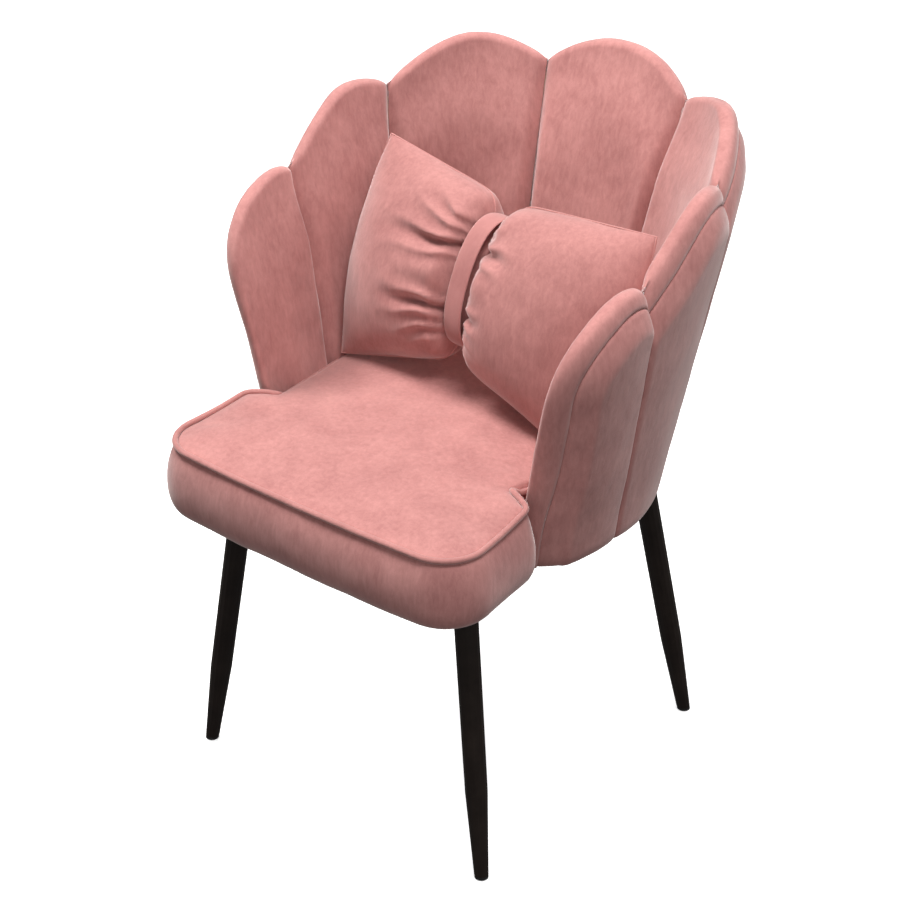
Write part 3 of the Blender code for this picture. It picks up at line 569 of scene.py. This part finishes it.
def front_column(petal, column):
    """Closed loop: sewn seam, rim, inner face, and back up behind it."""
    (edge_u, edge_z), (inward_u, inward_z), (root_u, root_z) = column
    pull = crease(petal.seam_distance(edge_u), petal.crease_run)
    edge_z -= NOTCH_DIP * (1 - pull)
    lip = LIP - NOTCH_THINNING * (1 - pull)
    drop = rim_drop(edge_z)

    def inset(distance):
        return max(0.001, edge_u + inward_u * distance), edge_z + inward_z * distance

    places = []
    for distance, depth in ((0.0012, SEAM_DEPTH), (0.0005, 0.0026), (-0.0004, 0.0009)):
        places.append((*inset(drop + distance), lip - depth))
    for k in range(7, 0, -1):
        phase = RIM_STEEP * k / 7
        fall = (1 - math.cos(phase)) / (1 - math.cos(RIM_STEEP))
        out = math.sin(phase) / math.sin(RIM_STEEP)
        places.append((*inset(drop * fall * 0.93), mix(RIM_TOP_OFFSET, lip, out)))
    for k in range(11):
        phase = math.pi / 2 * (1 - k / 10)
        u, z = inset(RIM_RADIUS * (1 - math.sin(phase) ** RIM_SQUARE))
        inner = 1 - math.cos(phase) ** RIM_SQUARE
        places.append((u, z, mix(-face_depth(petal, u), RIM_TOP_OFFSET * pull, inner)))
    start = inset(RIM_RADIUS)
    reach = math.hypot((root_u - start[0]) * petal.span, root_z - start[1])
    for k in range(1, FRONT_ROWS + 1):
        part = k / FRONT_ROWS
        u = mix(start[0], root_u, part)
        z = mix(start[1], root_z, part)
        places.append((u, z, -face_depth(petal, u, RIM_RADIUS + part * reach)))
    for k in range(5):
        part = 1 - k / 4
        u, z = mix(start[0], root_u, part), mix(start[1], root_z, part)
        places.append((u, z, -BOARD_BACK))
    places.append((*inset(drop + 0.0015), 0.0))
    return places


def outer_depth(petal, u, z, from_seam):
    """How far outside the mid surface an outer panel stands."""
    lip_pull = crease(petal.seam_distance(u), petal.crease_run)
    fullness = OUTER_FULLNESS * (1 - (2 * min(1.0, u) - 1) ** 2)
    swell = smooth(0.5 + 0.5 * from_seam / OUTER_SWELL) * 2 - 1
    depth = mix(LIP - NOTCH_THINNING * (1 - lip_pull), OUTER_DEPTH + fullness, swell)
    depth -= SEAM_DEPTH * (1 - rounded(from_seam - 0.0006, 0.0034))
    depth -= OUTER_CREASE_DEPTH * (1 - rounded(petal.seam_distance(u), OUTER_CREASE_RADIUS))
    depth -= TURN_UNDER * (1 - rounded(z - OUTER_LOW, TURN_RADIUS))
    return depth


def outer_column(petal, column):
    (edge_u, edge_z), (inward_u, inward_z), (root_u, root_z) = column
    pull = crease(petal.seam_distance(edge_u), petal.crease_run)
    edge_z -= NOTCH_DIP * (1 - pull)
    drop = rim_drop(edge_z)

    def inset(distance):
        return max(0.001, edge_u + inward_u * distance), edge_z + inward_z * distance

    places = []
    for gap in PANEL_GAPS:
        u, z = inset(drop + gap)
        places.append((u, z, outer_depth(petal, u, z, gap)))
    start = inset(drop + PANEL_GAPS[-1])
    for k in range(1, OUTER_ROWS + 1):
        part = 1 - (1 - k / OUTER_ROWS) ** 1.25
        u = mix(start[0], root_u, part)
        z = mix(start[1], root_z, part)
        gap = PANEL_GAPS[-1] + part * math.hypot((root_u - start[0]) * petal.span, root_z - start[1])
        places.append((u, z, outer_depth(petal, u, z, gap)))
    places.append((root_u, root_z, BOARD_BACK + 0.002))
    for k in range(4):
        part = 1 - k / 4
        places.append((mix(start[0], root_u, part), mix(start[1], root_z + 0.002, part), BOARD_BACK))
    return places


def petal_piece(petal, name, columns, section, material):
    rings = []
    for column in columns:
        rings.append([petal.place(u, z, offset) for u, z, offset in section(petal, column)])
    piece = loft(name + petal.name, rings, material)
    seed = 3.1 * len(name) + petal.span * 40 + ord(petal.name[-1])
    uneven(piece, 0.055, 0.0011, seed)
    return uneven(piece, 0.017, 0.00025, seed)


def build_petals(front_velvet, back_velvet):
    for petal in petals():
        columns = petal.layout(RAIL_TOP, True)
        front = petal_piece(petal, "petal_front_", columns, front_column, front_velvet)
        upholster(front, "chair", ["inner_pad_" + petal.name])
        columns = petal.layout(OUTER_LOW, False)
        back = petal_piece(petal, "petal_back_", columns, outer_column, back_velvet)
        upholster(back, "chair", ["outer_pad_" + petal.name])


# ---------------------------------------------------------------- seat
def fillet_path(corners):
    """Points of an open path whose corners (x, y, radius) are arcs."""
    path = []
    for k, (x, y, radius) in enumerate(corners):
        here = Vector((x, y))
        if radius == 0:
            path.append(here)
            continue
        before = (Vector(corners[k - 1][:2]) - here).normalized()
        after = (Vector(corners[k + 1][:2]) - here).normalized()
        half = before.angle(after) / 2
        centre = here + (before + after).normalized() * radius / math.sin(half)
        start = here + before * radius / math.tan(half) - centre
        end = here + after * radius / math.tan(half) - centre
        for s in range(13):
            path.append(centre + start.slerp(end, s / 12).normalized() * radius)
    return path


def seat_outline():
    """Closed plan of the seat: straight front, round corners, an ear in front
    of each arm, then the inside of the shell round the back."""
    run = arm_run(WELT_Z)
    arm_side = shell_point(90 + run * ARM_SIDE_PART, WELT_Z, -SEAT_SHELL_CLEAR)
    arm_tip = shell_point(90 + run * EAR_TIP_PART, WELT_Z, EAR_NOTCH_EASE - SEAT_SHELL_CLEAR)
    half = fillet_path([
        (0.0, SEAT_FRONT_Y, 0),
        (FRONT_BEND_X, SEAT_FRONT_Y + FRONT_BEND, 0),
        (SEAT_HALF_WIDTH, SEAT_FRONT_Y + CORNER_BEND, SEAT_CORNER),
        (EAR_HALF_WIDTH, EAR_BACK_Y, EAR_RADIUS),
        (arm_tip.x, EAR_NOTCH_Y, EAR_NOTCH_RADIUS),
        (arm_side.x, arm_side.y, 0),
    ])
    for angle in [90 + run * ARM_MIDDLE_PART] + [90 - 3 * k for k in range(31)]:
        half.append(shell_point(angle, WELT_Z, -SEAT_SHELL_CLEAR).xy)
    other = [Vector((-p.x, p.y)) for p in reversed(half[1:-1])]
    return resample(half + other, SEAT_STEP, closed=True)


def outward_normals(outline):
    along = np.roll(outline, -1, axis=0) - np.roll(outline, 1, axis=0)
    along /= np.linalg.norm(along, axis=1)[:, None]
    return np.stack([along[:, 1], -along[:, 0]], axis=1)


def seat_height(inset):
    """Height of the seat's top at a distance in from its edge."""
    near = 1 - math.exp(-inset / EDGE_RUN)
    middle = CROWN_RISE * (smooth(0.5 + inset / CROWN_RUN) * 2 - 1)
    return WELT_Z - COVER_DIP + EDGE_RISE * near + middle


def ear_lift(x, y):
    """Extra height of the seat's top near the foot of each arm's front."""
    gap = math.hypot(abs(x) - EAR_HALF_WIDTH + 0.030, y - EAR_NOTCH_Y)
    return EAR_LIFT * math.exp(-(gap / EAR_LIFT_RUN) ** 2)


def border_profile():
    """(height, bulge) down the seat's side, then under it."""
    top, low = WELT_Z - COVER_DIP, SEAT_LOW
    where, out = zip(*BORDER_SHAPE)
    parts = [0.5 - 0.5 * math.cos(math.pi * k / 26) for k in range(27)]
    made = []
    for part in parts:
        made.append((mix(top, low, part), float(np.interp(part, where, out))))
    return made


def soften(values, rounds):
    for _ in range(rounds):
        middle = 0.25 * values[:-2] + 0.5 * values[1:-1] + 0.25 * values[2:]
        values = np.vstack([values[:1], middle, values[-1:]])
    return values


def seat_cushion(material):
    """Top, border and underside in one closed mesh, with its pinned vertices."""
    outline = seat_outline()
    normals = outward_normals(outline)
    count = len(outline)
    free = np.clip((BULGE_START_Y - outline[:, 1]) / BULGE_RUN, 0.0, 1.0)
    profile = soften(np.array(border_profile()), 2)
    verts, faces = [], []
    for z, bulge in profile:
        ring = outline + normals * (bulge * np.where(bulge > 0, free, 1.0))[:, None]
        verts += [Vector((x, y, z)) for x, y in ring]
    for low in range(len(profile) - 1):
        for i in range(count):
            j = (i + 1) % count
            a, b = low * count, (low + 1) * count
            faces.append((a + i, b + i, b + j, a + j))
    last = (len(profile) - 1) * count
    faces.append(tuple(range(last, last + count)))
    tree = KDTree(count)
    for i, (x, y) in enumerate(outline):
        tree.insert((x, y, 0.0), i)
    tree.balance()
    flat = [Vector(p) for p in outline + normals * profile[0][1]]
    for inset in (0.003, 0.006, 0.0095):
        flat += [Vector(p) for p in outline - normals * inset]
    for row in range(90):
        y = SEAT_FRONT_Y + SEAT_GRID * 0.866 * row
        for k in range(-45, 46):
            x = SEAT_GRID * (k + 0.5 * (row % 2))
            spot = Vector((x, y))
            _, index, distance = tree.find((x, y, 0.0))
            inside = (spot - Vector(outline[index])).dot(Vector(normals[index])) < 0
            if inside and distance > 0.0125:
                flat.append(spot)
    border = [(i, (i + 1) % count) for i in range(count)]
    made = geometry.delaunay_2d_cdt(flat, border, [], 1, 1e-6)
    spots, triangles, sources = made[0], made[2], made[3]
    names = []
    for k, spot in enumerate(spots):
        source = sources[k][0] if sources[k] else -1
        if 0 <= source < count:
            names.append(source)
            continue
        distance = tree.find((spot.x, spot.y, 0.0))[2]
        names.append(len(verts))
        verts.append(Vector((spot.x, spot.y, seat_height(distance))))
    faces += [tuple(names[i] for i in triangle) for triangle in triangles]
    for vert in verts:
        vert.z += ear_lift(vert.x, vert.y) * smooth((vert.z - WELT_Z + 0.030) / 0.026)
    obj = make_object("seat_cushion", verts, faces, material)
    held = obj.vertex_groups.new(name="held")
    for vertex in obj.data.vertices:
        _, index, distance = tree.find((vertex.co.x, vertex.co.y, 0.0))
        on_top = vertex.co.z > WELT_Z - 0.002 or distance > 0.020
        low = vertex.co.z < SEAT_LOW + 0.006
        near_welt = distance < 0.006 and vertex.co.z > WELT_Z - 0.010
        if low or near_welt or (free[index] < 0.5 and not on_top):
            held.add([vertex.index], 1.0, "REPLACE")
    return obj, outline


def tube(name, path, radius, sides, material):
    """Closed cord along a closed path of Vectors."""
    count = len(path)
    rings = []
    for k, centre in enumerate(path):
        along = (path[(k + 1) % count] - path[k - 1]).normalized()
        across = along.cross(Vector((0, 0, 1))).normalized()
        upward = across.cross(along)
        steps = [2 * math.pi * s / sides for s in range(sides)]
        rings.append([centre + radius * (across * math.cos(a) + upward * math.sin(a)) for a in steps])
    return loft(name, rings, material, wrap=True)


def puff(obj, pressure, frames, cap, pin="held"):
    """Fill a closed cover with air by cloth simulation, and keep the result.
    No point moves further than cap."""
    start = np.array([v.co[:] for v in obj.data.vertices])
    cloth = obj.modifiers.new("cloth", "CLOTH")
    settings = cloth.settings
    settings.quality = 6
    settings.mass = 0.25
    settings.tension_stiffness = 18
    settings.compression_stiffness = 14
    settings.shear_stiffness = 6
    settings.bending_stiffness = 0.8
    settings.use_pressure = True
    settings.uniform_pressure_force = pressure
    settings.effector_weights.gravity = 0.0
    settings.vertex_group_mass = pin
    cloth.collision_settings.use_collision = False
    cloth.point_cache.frame_start = 1
    cloth.point_cache.frame_end = frames
    scene = bpy.context.scene
    for step in range(1, frames + 1):
        scene.frame_set(step)
    settled = obj.evaluated_get(bpy.context.evaluated_depsgraph_get())
    moved = np.array([v.co[:] for v in settled.data.vertices]) - start
    scene.frame_set(1)
    obj.modifiers.remove(cloth)
    length = np.linalg.norm(moved, axis=1)[:, None]
    limited = moved * np.minimum(1.0, cap / np.maximum(length, 1e-9))
    print(obj.name, "moved up to", round(float(length.max()) * 1000, 1), "mm")
    for vertex, place in zip(obj.data.vertices, start + limited):
        vertex.co = place
    obj.data.update()
    return obj


def build_seat(material, welt_material):
    cushion, outline = seat_cushion(material)
    puff(cushion, 2.5, 16, 0.004)
    uneven(cushion, 0.070, 0.0014, 5.0)
    uneven(cushion, 0.020, 0.0003, 9.0)
    upholster(cushion, "chair", ["seat_foam", "seat_top_cover", "seat_border_cover"])
    normals = outward_normals(outline)
    path = []
    for k, (x, y) in enumerate(outline):
        wobble = 0.0004 * noise.noise(Vector((x, y, 0.3)) * 22)
        sunk = WELT_SINK * smooth((y - EAR_NOTCH_Y + 0.004) / 0.020)
        level = WELT_Z + wobble - sunk + ear_lift(x, y)
        path.append(Vector((x, y, level)) + Vector((*normals[k], 0)) * (wobble + 0.3 * sunk))
    welt = tube("seat_piping", path, WELT_RADIUS, 12, welt_material)
    upholster(welt, "chair", ["seat_welt"])


# ---------------------------------------------------------------- bow cushion
def bow_matrix():
    """From cushion coordinates (across, out of its front, up) to the chair's."""
    lean = Matrix.Rotation(math.radians(-BOW_LEAN), 4, "X")
    turn = Matrix.Rotation(math.radians(BOW_TURN), 4, "Z")
    flip = Matrix.Diagonal((1.0, -1.0, 1.0, 1.0))
    return Matrix.Translation(BOW_CENTRE) @ turn @ lean @ flip


# Gathers: (wing side, up at the band, up at the far end, length, depth, width)
FRONT_GATHERS = (
    (-1, 0.058, 0.082, 0.080, 0.0150, 0.0085),
    (-1, 0.034, 0.028, 0.110, 0.0210, 0.0088),
    (-1, -0.040, -0.050, 0.092, 0.0190, 0.0086),
    (-1, -0.066, -0.088, 0.056, 0.0110, 0.0072),
    (1, 0.066, 0.076, 0.030, 0.0060, 0.0075),
    (1, 0.044, 0.036, 0.062, 0.0190, 0.0080),
    (1, -0.034, -0.040, 0.044, 0.0170, 0.0072),
    (1, -0.062, -0.076, 0.034, 0.0070, 0.0070),
)


def gather_depth(x, up):
    """How far the front dips at a place: sharp valleys with a soft ridge beside."""
    total = 0.0
    for side, near, far, length, depth, width in FRONT_GATHERS:
        run = side * x - BAND_HALF
        if run < -0.004 or run > length * 1.25:
            continue
        part = max(0.0, run / length)
        line = mix(near, far, min(1.2, part)) + 0.0015 * math.sin(9.0 * part + 40 * near)
        gap = (up - line) / (width * (0.8 + 0.8 * part))
        fade = (1 - smooth(part / 1.25)) * smooth((run + 0.004) / 0.010)
        valley = math.exp(-abs(gap) ** 1.35)
        ridges = 0.30 * math.exp(-0.7 * (gap + 2.0) ** 2) + 0.42 * math.exp(-0.5 * (gap - 2.1) ** 2)
        total += depth * fade * (valley - ridges)
    return total


def bow_section(x_part, rows):
    """Ring of (x, out, up) points round the cushion at a place across it."""
    waist = BAND_HALF / BOW_MEAN_HALF_WIDTH
    reach = max(0.0, (abs(x_part) - waist) / (1 - waist))
    shoulder = 1 - math.exp(-reach / 0.035)
    height = mix(BOW_WAIST_HEIGHT, BOW_SHOULDER_HEIGHT, shoulder)
    height += (BOW_HALF_HEIGHT - BOW_SHOULDER_HEIGHT) * reach
    depth = mix(BOW_WAIST_DEPTH, BOW_WING_DEPTH, 1 - math.exp(-reach / 0.10))
    depth *= max(0.0, 1 - reach ** 2.6) ** 0.62
    depth += 0.0009
    lens = mix(0.48, 0.64, smooth(reach * 1.4))
    ring = []
    for face in (1, -1):
        for k in range(rows):
            b = -face * math.cos(math.pi * k / rows)
            out = depth * max(0.0, 1 - abs(b) ** 2.1) ** lens
            if face > 0:
                out *= mix(1.0, BOW_FRONT_SWELL, smooth(reach / 0.12))
            width = mix(BOW_HALF_WIDTH_LOW, BOW_HALF_WIDTH_HIGH, (b + 1) / 2)
            width += BOW_SIDE_BULGE * (1 - b * b) * reach
            x = x_part * width + BOW_WAIST_SHIFT * (1 - abs(x_part))
            ring.append(Vector((x, face * out, height * b - BOW_WING_DROP * reach)))
    return ring


def pull_gathers(body):
    """Draw the gathers beside the band into both faces of the filled cushion."""
    for vertex in body.data.vertices:
        x, out, up = vertex.co
        x -= BOW_WAIST_SHIFT
        slack = min(1.0, abs(out) / 0.020)
        inward = gather_depth(x, up) if out > 0 else 0.7 * gather_depth(-x, up)
        groove = BAND_GROOVES[1] if x > 0 else BAND_GROOVES[0]
        beside = max(0.0, abs(x) - BAND_HALF) / BAND_GROOVE_RUN
        inward += groove * math.exp(-beside * beside)
        vertex.co.y -= math.copysign(inward * slack, out)


def build_bow(material, band_material):
    steps, rows = BOW_STEPS, BOW_ROWS
    parts = [2 * k / steps - 1 for k in range(steps + 1)]
    parts = [mix(p, math.sin(math.pi / 2 * p), 0.35) for p in parts]
    rings = [bow_section(p, rows) for p in parts]
    body = loft("bow_cushion", rings, material)
    held = body.vertex_groups.new(name="held")
    count = 2 * rows
    for vertex in body.data.vertices:
        ring, spot = divmod(vertex.index, count)
        on_edge = spot in (0, rows) or ring in (0, steps)
        if on_edge or abs(vertex.co.x - BOW_WAIST_SHIFT) < BAND_HALF + 0.001:
            held.add([vertex.index], 1.0, "REPLACE")
    puff(body, 3.0, 14, 0.006)
    pull_gathers(body)
    along_edge = [k * count for k in range(steps + 1)]
    along_edge += [steps * count + k for k in range(4, rows - 3, 4)]
    along_edge += [k * count + rows for k in range(steps, -1, -1)]
    along_edge += range(rows - 4, 3, -4)
    edge = [body.data.vertices[k].co.copy() for k in along_edge]
    seam = bow_seam(edge, material)
    matrix = bow_matrix()
    band = bow_band(band_material)
    for obj in (body, seam, band):
        obj.data.transform(matrix)
        obj.data.flip_normals()
    uneven(body, 0.045, 0.0012, 2.0)
    upholster(body, "pillow", ["bow_body"])
    upholster(seam, "pillow")
    upholster(band, "pillow", ["bow_band"])


def bow_seam(edge, material):
    """Fine rolled seam where the front and the back of the cushion meet."""
    rings = []
    outward = Vector((0, 1, 0))
    count = len(edge)
    for k, centre in enumerate(edge):
        along = (edge[(k + 1) % count] - edge[k - 1]).normalized()
        across = along.cross(outward).normalized()
        steps = [2 * math.pi * s / 8 for s in range(8)]
        spokes = [across * math.cos(a) + outward * math.sin(a) for a in steps]
        rings.append([centre + BOW_SEAM_RADIUS * spoke for spoke in spokes])
    return loft("bow_edge_seam", rings, material, wrap=True)


def bow_band(material):
    """Flat band round the waist, with soft edges."""
    section = []
    half, thick = BAND_HALF, BAND_THICK
    for k in range(16):
        angle = 2 * math.pi * (k + 0.5) / 16
        across = math.copysign(abs(math.cos(angle)) ** 0.35, math.cos(angle)) * half
        out = math.copysign(abs(math.sin(angle)) ** 0.8, math.sin(angle)) * thick * 0.6
        section.append((across, out))
    rings = []
    for k in range(96):
        angle = 2 * math.pi * k / 96
        sine, cosine = math.sin(angle), math.cos(angle)
        ring = []
        for across, out in section:
            up = (BOW_WAIST_HEIGHT + BAND_CLEAR + out) * math.copysign(abs(sine) ** 0.85, sine)
            front = (BOW_WAIST_DEPTH + BAND_CLEAR + out) * math.copysign(abs(cosine) ** 0.85, cosine)
            ring.append(Vector((BOW_WAIST_SHIFT + across, front, up)))
        rings.append(ring)
    return loft("bow_waist_band", rings, material, wrap=True)


# ---------------------------------------------------------------- carried-over parts
def finish_frame_nodes():
    """Give each kept solid its finish.  The longest matching start of a name counts."""
    plated = zinc()
    plywood = wood("birch_plywood", (0.50, 0.34, 0.19), (0.72, 0.55, 0.36), 14.0)
    finishes = {
        "leg_plate": plated, "leg_screw": plated, "shell_cleat": plated, "cleat_screw": plated,
        "leg_": powder_coat(), "foot_glide": nylon(), "dust_cover": felt(),
        "seat_board": plywood, "shell_board": plywood,
        "base_rail": wood("laminated_beech", (0.42, 0.26, 0.14), (0.62, 0.43, 0.26), 22.0),
    }
    for name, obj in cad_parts.items():
        keys = [key for key in finishes if name.startswith(key)]
        if keys:
            finish = finishes[max(keys, key=len)]
            obj.data.materials.clear()
            obj.data.materials.append(finish)


# ---------------------------------------------------------------- stage
def build_stage():
    graph = Graph("pale_floor")
    grain = graph.noise(300.0, 2.0)
    colour = graph.blend(grain, (0.90, 0.90, 0.90), (0.94, 0.94, 0.94))
    floor_material = graph.finish(
        colour, None, None, Roughness=0.9, Specular_IOR_Level=0.1,
        Emission_Color=(1.0, 1.0, 1.0, 1.0), Emission_Strength=0.70,
    )
    corners = ((-1, -1), (1, -1), (1, 1), (-1, 1))
    verts = [Vector((FLOOR_SIZE * x, FLOOR_SIZE * y, -0.0005)) for x, y in corners]
    floor = make_object("floor", verts, [(0, 1, 2, 3)], floor_material)
    floor.visible_diffuse = False
    floor.visible_glossy = False
    world = bpy.data.worlds.new("studio")
    bpy.context.scene.world = world
    world.use_nodes = True
    nodes, links = world.node_tree.nodes, world.node_tree.links
    split = nodes.new("ShaderNodeSeparateXYZ")
    links.new(nodes.new("ShaderNodeTexCoord").outputs["Generated"], split.inputs[0])
    rise = nodes.new("ShaderNodeMapRange")
    links.new(split.outputs["Z"], rise.inputs["Value"])
    rise.inputs["From Min"].default_value = -0.5
    rise.inputs["From Max"].default_value = 0.7
    mixer = nodes.new("ShaderNodeMix")
    mixer.data_type = "RGBA"
    links.new(rise.outputs["Result"], mixer.inputs[0])
    mixer.inputs[6].default_value = (*WORLD_LOW, 1.0)
    mixer.inputs[7].default_value = (*WORLD_HIGH, 1.0)
    links.new(mixer.outputs[2], nodes["Background"].inputs["Color"])


def soft_light(name, place, target, size, power, colour=(1.0, 1.0, 1.0)):
    data = bpy.data.lights.new(name, "AREA")
    data.shape = "DISK"
    data.size = size
    data.energy = power
    data.color = colour
    obj = bpy.data.objects.new(name, data)
    bpy.context.scene.collection.objects.link(obj)
    obj.location = place
    obj.rotation_euler = (Vector(target) - Vector(place)).to_track_quat("-Z", "Y").to_euler()
    return obj


def build_lights():
    middle = (0.0, 0.0, 0.5)
    soft_light("key", (-1.5, -0.35, 3.0), middle, 1.0, 74, (1.0, 0.98, 0.965))
    soft_light("overhead", (0.8, -0.60, 3.1), middle, 1.0, 50)
    soft_light("fill", (1.9, -1.9, 1.5), middle, 2.0, 9)
    soft_light("rim", (1.0, 2.2, 2.0), middle, 1.0, 20)


def build_camera():
    data = bpy.data.cameras.new("camera")
    data.sensor_width = 36.0
    data.lens = 100.8
    camera = bpy.data.objects.new("camera", data)
    bpy.context.scene.collection.objects.link(camera)
    camera.location = (1.622, -2.058, 1.931)
    camera.rotation_euler = (math.radians(90 - 30.57), 0.0, math.radians(38.78))
    bpy.context.scene.camera = camera
    bpy.context.scene.view_settings.view_transform = "Standard"


# ---------------------------------------------------------------- assembly
build_camera()
build_stage()
build_lights()
finish_frame_nodes()
inside_velvet = velvet("velvet_inside", DARK, LIGHT, 1.0)
outside_velvet = velvet("velvet_outside", DARK, LIGHT, 4.0)
seat_velvet = velvet("velvet_seat", DARK, LIGHT, 7.0)
# The bow cushion and the seat piping take the darker copy of the velvet: painted shade.
shaded_cushion_velvet = velvet("velvet_cushion", *CUSHION_SHADED_TONES, 10.0)
band_velvet = velvet("velvet_band", DARK, LIGHT, 13.0, nap=0.3)
build_petals(inside_velvet, outside_velvet)
build_seat(seat_velvet, shaded_cushion_velvet)
build_bow(shaded_cushion_velvet, band_velvet)
